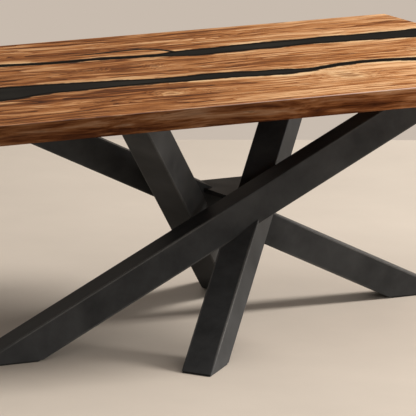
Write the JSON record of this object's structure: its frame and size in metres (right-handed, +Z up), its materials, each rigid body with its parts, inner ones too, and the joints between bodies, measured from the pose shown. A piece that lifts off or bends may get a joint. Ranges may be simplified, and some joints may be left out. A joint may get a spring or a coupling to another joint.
{
  "type": "epoxy resin dining table",
  "caption": "Rectangular dining table with live-edge wood slabs joined by black resin rivers, on a spider base of crossing square steel tubes.",
  "frame": {"origin": "on the floor under the middle of the table", "axes": "+X along the length of the top, +Y across the width towards the far long side, +Z up"},
  "size_m": [2, 1.0378, 0.75],
  "materials": {
    "wood": "satin oiled",
    "resin": "satin gloss",
    "black_steel": "matte powder coat",
    "pad_rubber": "matte",
    "fastener_steel": "zinc plated",
    "insert_brass": "plain"
  },
  "bodies": {
    "root": {"front_slab": "wood", "middle_slab": "wood", "rear_slab": "wood", "front_river": "resin", "rear_river": "resin", "long_leg_front": "black_steel", "long_leg_rear": "black_steel", "cross_leg_front": "black_steel", "cross_leg_rear": "black_steel", "hub_plate": "black_steel", "long_foot_plate_front": "black_steel", "long_foot_plate_rear": "black_steel", "cross_foot_plate_front": "black_steel", "cross_foot_plate_rear": "black_steel", "long_mount_plate_front": "black_steel", "long_mount_plate_rear": "black_steel", "cross_mount_plate_front": "black_steel", "cross_mount_plate_rear": "black_steel", "channel_left": "black_steel", "channel_middle": "black_steel", "channel_right": "black_steel", "long_pad_front": "pad_rubber", "long_pad_rear": "pad_rubber", "cross_pad_front": "pad_rubber", "cross_pad_rear": "pad_rubber", "mount_bolts": "fastener_steel", "mount_washers": "fastener_steel", "channel_screws": "fastener_steel", "mount_inserts": "insert_brass", "channel_inserts": "insert_brass"}
  },
  "joints": []
}
